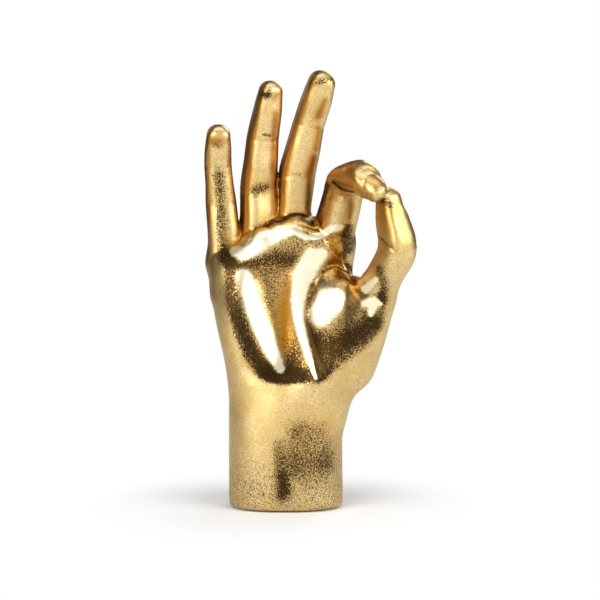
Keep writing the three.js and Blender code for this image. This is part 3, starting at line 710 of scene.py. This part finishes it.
class Finish:
    """a material that is put together from its nodes"""

    def __init__(self, name, metallic=0):
        self.material = bpy.data.materials.new(name)
        self.material.use_nodes = True
        self.tree = self.material.node_tree
        self.nodes = self.tree.nodes
        self.links = self.tree.links
        self.shader = self.nodes["Principled BSDF"]
        self.shader.inputs["Metallic"].default_value = metallic
        self.place = self.nodes.new("ShaderNodeTexCoord").outputs["Object"]

    def feed(self, socket, value):
        """links a node's output to a socket, or sets a number or a colour on it"""
        if isinstance(value, bpy.types.NodeSocket):
            self.links.new(value, socket)
        elif isinstance(value, tuple):
            socket.default_value = (*value, 1)
        else:
            socket.default_value = value

    def grain(self, scale, detail=3, low=0, high=1, stretch=None):
        node = self.nodes.new("ShaderNodeGroup")
        node.node_tree = grain_group
        vector = self.place
        if stretch:
            mapping = self.nodes.new("ShaderNodeMapping")
            mapping.inputs["Scale"].default_value = stretch
            self.links.new(self.place, mapping.inputs["Vector"])
            vector = mapping.outputs["Vector"]
        self.links.new(vector, node.inputs["Vector"])
        for name, value in (("Scale", scale), ("Detail", detail), ("Low", low), ("High", high)):
            node.inputs[name].default_value = value
        return node.outputs["Amount"]

    def math(self, operation, first, second):
        node = self.nodes.new("ShaderNodeMath")
        node.operation = operation
        self.feed(node.inputs[0], first)
        self.feed(node.inputs[1], second)
        return node.outputs["Value"]

    def between(self, value, *limits):
        return soft_range(self.tree, value, *limits)

    def mix(self, share, first, second):
        node = self.nodes.new("ShaderNodeMix")
        node.data_type = "RGBA"
        self.feed(node.inputs["Factor"], share)
        self.feed(node.inputs["A"], first)
        self.feed(node.inputs["B"], second)
        return node.outputs["Result"]

    def from_mesh(self, name):
        node = self.nodes.new("ShaderNodeAttribute")
        node.attribute_name = name
        return node.outputs["Fac"]

    def finish(self, colour, roughness, height, depth, strength=1.0):
        """colour, roughness and relief; depth is the height of the relief in metres"""
        self.feed(self.shader.inputs["Base Color"], colour)
        self.feed(self.shader.inputs["Roughness"], roughness)
        relief = self.nodes.new("ShaderNodeBump")
        relief.inputs["Strength"].default_value = strength
        relief.inputs["Distance"].default_value = depth
        self.links.new(height, relief.inputs["Height"])
        self.links.new(relief.outputs["Normal"], self.shader.inputs["Normal"])
        return self.material


# The leaf's colours, from the palest, for painted highlights, to the dark of painted shade and dark
# reflections, which also shows in random specks
highlight_leaf = (1.0, 0.91, 0.64)
bright_leaf = (0.86, 0.67, 0.35)
plain_leaf = (0.74, 0.55, 0.24)
speckled_leaf = (0.55, 0.37, 0.12)
amber_leaf = (0.50, 0.27, 0.055)
deep_shade_leaf = (0.42, 0.172, 0.009)
dark_shade_and_specks = (0.026, 0.013, 0.0045)
satin_roughness = 0.34
face_roughness = 0.18
leaf_relief = 0.00025

gilding = Finish("gold_leaf", metallic=1)
speckle = gilding.grain(1500, 2)
specks = gilding.grain(1200, 4)
flecks = gilding.grain(1350, 4, 0.3, 0.7)
clouds = gilding.grain(70, 3)
# From the mesh: painted shade and darkening, crease shade, amber tone and shade, deep shade and painted
# highlights
shade_and_darkening_amount = gilding.from_mesh("shade_and_darkening")
crease_shade = gilding.from_mesh("fold")
shaded = gilding.from_mesh("amber_tone_and_shade")
deep_shade_amount = gilding.from_mesh("deep_shade")
painted_highlight_amount = gilding.from_mesh("painted_highlight")
leaf = gilding.mix(gilding.between(clouds, 0.35, 0.65), plain_leaf, bright_leaf)
leaf = gilding.mix(gilding.between(speckle, 0.40, 0.66), leaf, speckled_leaf)
# Amber tone and painted shade
share = gilding.math("MULTIPLY", shaded, gilding.between(specks, 0.3, 0.6, 0.7, 1.0))
leaf = gilding.mix(share, leaf, amber_leaf)
# Painted shade, in deep gold
share = gilding.math("MULTIPLY", deep_shade_amount, gilding.between(specks, 0.3, 0.6, 0.85, 1.0))
leaf = gilding.mix(share, leaf, deep_shade_leaf)
# Painted highlights: the palest leaf, with speckled edges, a little rougher there
highlight_share = gilding.math("ADD", painted_highlight_amount, gilding.between(specks, 0.3, 0.7, -0.25, 0.25))
highlight_share = gilding.between(highlight_share, 0.25, 0.7)
leaf = gilding.mix(highlight_share, leaf, highlight_leaf)
# Painted shade and dark reflections, with crease shade and random clouds, become dark specks that also
# make the leaf duller
shade_and_clouds = gilding.math("ADD", gilding.math("MULTIPLY", shade_and_darkening_amount, 0.95), gilding.math("MULTIPLY", crease_shade, 0.3))
shade_and_clouds = gilding.math("ADD", shade_and_clouds, gilding.math("MULTIPLY", clouds, 0.25))
shade_and_specks = gilding.between(gilding.math("ADD", flecks, shade_and_clouds), 0.95, 1.35, 0.0, 0.97)
leaf = gilding.mix(shade_and_specks, leaf, dark_shade_and_specks)
satin = gilding.between(gilding.from_mesh("shine"), 0, 1, satin_roughness, face_roughness)
satin = gilding.math("ADD", satin, gilding.math("MULTIPLY", shade_and_specks, 0.15))
satin = gilding.math("ADD", satin, gilding.math("MULTIPLY", highlight_share, 0.10))
relief = gilding.math("ADD", speckle, gilding.math("MULTIPLY", specks, 0.6))
gold = gilding.finish(leaf, satin, relief, leaf_relief, strength=0.3)
hand_mesh.materials.append(gold)


# Fingernails
# They are part of the real casting and have crisp edges, so each is a thin plate of its own here. It
# lies in the bed that the clay has for it, and is gilded like the rest.

nail_thickness = 1.0
nail_tone = 0.6
nail_proud = 0.05
nail_edge = 0.25
# It curves round less than the finger does where that's broad, narrows to both ends and ends in an arc
nail_curve_share = 0.85
nail_least_curve = 1.12
nail_narrowing = 0.38
nail_end_arc = 0.30
nail_long_curve = 60


def nail_plate(name, finger):
    joint, tip = (np.array(point, float) for point in finger["joints"][2:])
    along = unit(tip - joint)
    palmar = np.array(finger["palmar"][2], float)
    back = -unit(palmar - along * np.dot(palmar, along))
    side = np.cross(along, back)
    nail_half_length, nail_half_width, nail_station = finger.get("nail", usual_nail)
    half_width = nail_half_width * finger["girths"][5]
    length = np.linalg.norm(tip - joint)
    middle = joint + along * length * (nail_station - 4) / 2
    rise = (smooth_between(np.array(nail_station), finger["girths"]) + extra_girth) * finger["flatness"]
    curve = max(nail_curve_share * rise, nail_least_curve * half_width)
    plate = bmesh.new()
    bmesh.ops.create_grid(plate, x_segments=12, y_segments=16, size=1)
    for corner in plate.verts:
        u, v = corner.co.x, corner.co.y
        across = u * (1 - nail_narrowing * v * v) ** 0.5 * half_width
        forward = v * (1 - nail_end_arc * u * u) ** 0.5 * nail_half_length
        depth = curve - (curve ** 2 - across ** 2) ** 0.5
        depth += (forward ** 2 + max(forward, 0) ** 2) / nail_long_curve
        place = middle + side * across + along * forward + back * (rise + nail_proud - depth)
        corner.co = Vector(place * mm)
    sunk = bmesh.ops.extrude_face_region(plate, geom=plate.faces[:])
    sunk = [part for part in sunk["geom"] if isinstance(part, bmesh.types.BMVert)]
    bmesh.ops.translate(plate, vec=Vector(back * -nail_thickness * mm), verts=sunk)
    bmesh.ops.recalc_face_normals(plate, faces=plate.faces)
    sharp = [edge for edge in plate.edges if edge.calc_face_angle() > radians(50)]
    bmesh.ops.bevel(plate, geom=sharp, offset=nail_edge * mm, segments=2, profile=0.5, affect="EDGES",
                    material=-1)
    nail_mesh = bpy.data.meshes.new(name)
    plate.to_mesh(nail_mesh)
    plate.free()
    nail_mesh.shade_smooth()
    paint(nail_mesh, "amber_tone_and_shade", np.full(len(nail_mesh.vertices), nail_tone))
    nail_mesh.materials.append(gold)
    nail = bpy.data.objects.new(name, nail_mesh)
    bpy.context.collection.objects.link(nail)
    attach(nail, "root")
    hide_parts("hand_casting")


for finger_name, finger in fingers.items():
    nail_plate(f"{finger_name}_nail", finger)


# Finger wires
# Five lengths of plain steel wire, which lie in the mould before the resin is poured and stiffen the
# fingers. Only their roots show, in the hollow inside.

steel = Finish("steel_wire", metallic=1)
drawn = steel.grain(900, 2, 0.3, 0.7, stretch=(1, 1, 0.06))
rust = steel.between(steel.grain(160, 4), 0.58, 0.75)
colour = steel.mix(rust, steel.mix(drawn, (0.42, 0.43, 0.45), (0.56, 0.57, 0.59)), (0.20, 0.11, 0.06))
steel_wire = steel.finish(colour, steel.between(drawn, 0, 1, 0.32, 0.5), drawn, 0.00005)


def dress(node, material):
    """gives a CAD node its finish"""
    for slot in bpy.data.objects[node].material_slots:
        slot.material = material


for name in fingers:
    dress(f"{name}_wire", steel_wire)


# Ballast
# A block of plaster that makes the tall hand stand firmly. It's poured into the hollow wrist when the
# wires are in their places, and the base plate covers it.

cast_plaster = Finish("plaster")
pores = cast_plaster.grain(700, 3, 0.55, 0.75)
tone = cast_plaster.grain(60, 3, 0.3, 0.7)
colour = cast_plaster.mix(tone, (0.72, 0.69, 0.62), (0.80, 0.77, 0.71))
colour = cast_plaster.mix(pores, colour, (0.45, 0.42, 0.37))
plaster = cast_plaster.finish(colour, cast_plaster.between(pores, 0, 1, 0.9, 0.97), pores, -0.0002)
dress("ballast_block", plaster)


# Base plate
# A disc of hardboard that closes the hollow from below. It's sawn to the outline of the wrist and glued
# into the rebate under the foot.

board = Finish("hardboard")
fibres = board.grain(1300, 3, 0.35, 0.65)
blotches = board.grain(90, 3, 0.35, 0.65)
colour = board.mix(blotches, (0.11, 0.058, 0.026), (0.17, 0.095, 0.045))
colour = board.mix(board.math("MULTIPLY", fibres, 0.5), colour, (0.28, 0.18, 0.09))
hardboard = board.finish(colour, board.between(fibres, 0, 1, 0.62, 0.8), fibres, 0.00008)
dress("base_plate", hardboard)


# Felt pad
# Dark felt, cut with scissors a little smaller than the foot and glued on, so that the foot doesn't
# scratch the shelf. Its cut edge is soft and round.

felt_low, felt_high = (np.array(corner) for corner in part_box("felt_pad"))
felt_middle = (felt_low + felt_high) / 2
felt_half = (felt_high - felt_low) / 2
felt_round = 0.0007
felt_loss = 0.0002
felt_border = 0.004

pad = bmesh.new()
bmesh.ops.create_circle(pad, cap_ends=True, segments=72, radius=1)
for corner in pad.verts:
    u, v = corner.co.x, corner.co.y
    spread = (abs(u) ** squareness + abs(v) ** squareness) ** (-1 / squareness)
    ragged = 1 - felt_loss * (1 + sin(41 * u + 17 * v) * cos(29 * v - 13 * u)) / felt_half[0]
    corner.co.x = u * spread * ragged * felt_half[0]
    corner.co.y = v * spread * ragged * felt_half[1]
raised_face = bmesh.ops.extrude_face_region(pad, geom=pad.faces[:])
raised_corners = [part for part in raised_face["geom"] if isinstance(part, bmesh.types.BMVert)]
bmesh.ops.translate(pad, vec=(0, 0, 2 * felt_half[2]), verts=raised_corners)
bmesh.ops.recalc_face_normals(pad, faces=pad.faces)
rims = [edge for edge in pad.edges if edge.calc_face_angle(0) > radians(60)]
bmesh.ops.bevel(pad, geom=rims, offset=felt_round, segments=3, profile=0.5, affect="EDGES", material=-1)
flat_faces = [face for face in pad.faces if len(face.verts) > 8]
bmesh.ops.inset_region(pad, faces=flat_faces, thickness=felt_border)
bmesh.ops.translate(pad, vec=(felt_middle[0], felt_middle[1], felt_low[2]), verts=pad.verts)
felt_mesh = bpy.data.meshes.new("felt")
pad.to_mesh(felt_mesh)
pad.free()
felt_mesh.shade_smooth()
felt = bpy.data.objects.new("felt", felt_mesh)
bpy.context.collection.objects.link(felt)
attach(felt, "root")
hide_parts("felt_pad")

wool = Finish("felt")
hairs = wool.grain(1600, 4, 0.35, 0.7)
mottle = wool.grain(200, 3, 0.35, 0.65)
colour = wool.mix(mottle, (0.012, 0.013, 0.011), (0.026, 0.027, 0.022))
colour = wool.mix(wool.math("MULTIPLY", hairs, 0.4), colour, (0.07, 0.07, 0.06))
wool.shader.inputs["Sheen Weight"].default_value = 0.3
felt_mesh.materials.append(wool.finish(colour, wool.between(hairs, 0, 1, 0.9, 1.0), hairs, 0.0003))


# Studio
# A pale floor and white surroundings, as in the photograph. The burnished leaf mirrors the room, which
# is bright behind the camera and dim at the sides and behind the hand.

floor_mesh = bpy.data.meshes.new("floor")
shaped = bmesh.new()
bmesh.ops.create_grid(shaped, x_segments=1, y_segments=1, size=1)
bmesh.ops.scale(shaped, vec=(1.2, 1.25, 1), verts=shaped.verts)
bmesh.ops.translate(shaped, vec=(0, 0.1, 0), verts=shaped.verts)
shaped.to_mesh(floor_mesh)
shaped.free()
floor = bpy.data.objects.new("floor", floor_mesh)
bpy.context.collection.objects.link(floor)

# The paper on the floor keeps the shadow near the hand and is plain white to the camera further off
shadow_reach = (0.04, 0.13)
paper = Finish("floor")
paper.shader.inputs["Base Color"].default_value = (0.92, 0.92, 0.92, 1)
paper.shader.inputs["Roughness"].default_value = 0.9
paper.shader.inputs["Specular IOR Level"].default_value = 0.1
distance = paper.nodes.new("ShaderNodeVectorMath")
distance.operation = "LENGTH"
seen = paper.nodes.new("ShaderNodeLightPath")
white = paper.nodes.new("ShaderNodeEmission")
choose = paper.nodes.new("ShaderNodeMixShader")
paper.links.new(paper.place, distance.inputs[0])
far_off = paper.between(distance.outputs["Value"], *shadow_reach)
white_there = paper.math("MULTIPLY", far_off, seen.outputs["Is Camera Ray"])
paper.links.new(white_there, choose.inputs["Fac"])
paper.links.new(paper.shader.outputs["BSDF"], choose.inputs[1])
paper.links.new(white.outputs["Emission"], choose.inputs[2])
paper.links.new(choose.outputs["Shader"], paper.nodes["Material Output"].inputs["Surface"])
floor_mesh.materials.append(paper.material)

# The room's brightness goes by how far a direction leans to the front: at the sides, behind the camera,
# and behind the hand as a share of the sides
side_brightness = 0.34
front_brightness = 1.25
back_share = 0.25
world = bpy.data.worlds.new("studio")
bpy.context.scene.world = world
world.use_nodes = True
nodes = world.node_tree.nodes
links = world.node_tree.links
nodes.clear()
output = nodes.new("ShaderNodeOutputWorld")
room = nodes.new("ShaderNodeBackground")
direction = nodes.new("ShaderNodeTexCoord")
to_front = nodes.new("ShaderNodeVectorMath")
to_front.operation = "DOT_PRODUCT"
to_front.inputs[1].default_value = (0.05, -1, 0)
links.new(direction.outputs["Generated"], to_front.inputs[0])
leaning = to_front.outputs["Value"]
bright_front = soft_range(world.node_tree, leaning, 0.90, 0.98, side_brightness, front_brightness)
dim_back = soft_range(world.node_tree, leaning, -0.7, 0.0, back_share)
both = nodes.new("ShaderNodeMath")
both.operation = "MULTIPLY"
seen = nodes.new("ShaderNodeLightPath")
white = nodes.new("ShaderNodeBackground")
white.inputs["Color"].default_value = (1, 1, 1, 1)
choose = nodes.new("ShaderNodeMixShader")
links.new(bright_front, both.inputs[0])
links.new(dim_back, both.inputs[1])
links.new(both.outputs["Value"], room.inputs["Strength"])
links.new(seen.outputs["Is Camera Ray"], choose.inputs["Fac"])
links.new(room.outputs["Background"], choose.inputs[1])
links.new(white.outputs["Background"], choose.inputs[2])
links.new(choose.outputs["Shader"], output.inputs["Surface"])

palm_centre_height = 0.14


def softbox(name, azimuth, elevation, size, brightness):
    """a lamp's white cloth, a metre from the palm; azimuth 0 is the camera's side, 90 the thumb's"""
    turn, rise = radians(azimuth), radians(elevation)
    middle = Vector((0, 0, palm_centre_height))
    place = middle + Vector((sin(turn) * cos(rise), -cos(turn) * cos(rise), sin(rise)))
    lamp = bpy.data.lights.new(name, "AREA")
    lamp.shape = "RECTANGLE"
    lamp.size, lamp.size_y = size
    lamp.energy = brightness * pi * size[0] * size[1]
    box = bpy.data.objects.new(name, lamp)
    box.location = place
    box.rotation_euler = (middle - place).to_track_quat("-Z", "Y").to_euler()
    bpy.context.collection.objects.link(box)


softbox("softbox_left", -36, 16, (0.8, 0.5), 5.5)
softbox("softbox_right", 52, 16, (0.7, 0.5), 5.5)
softbox("softbox_top", 0, 66, (1.2, 0.6), 1.7)
softbox("softbox_back", 150, 35, (0.6, 0.5), 2.5)
softbox("softbox_back_left", -150, 25, (0.3, 0.6), 1)

bpy.context.scene.view_settings.view_transform = "Standard"
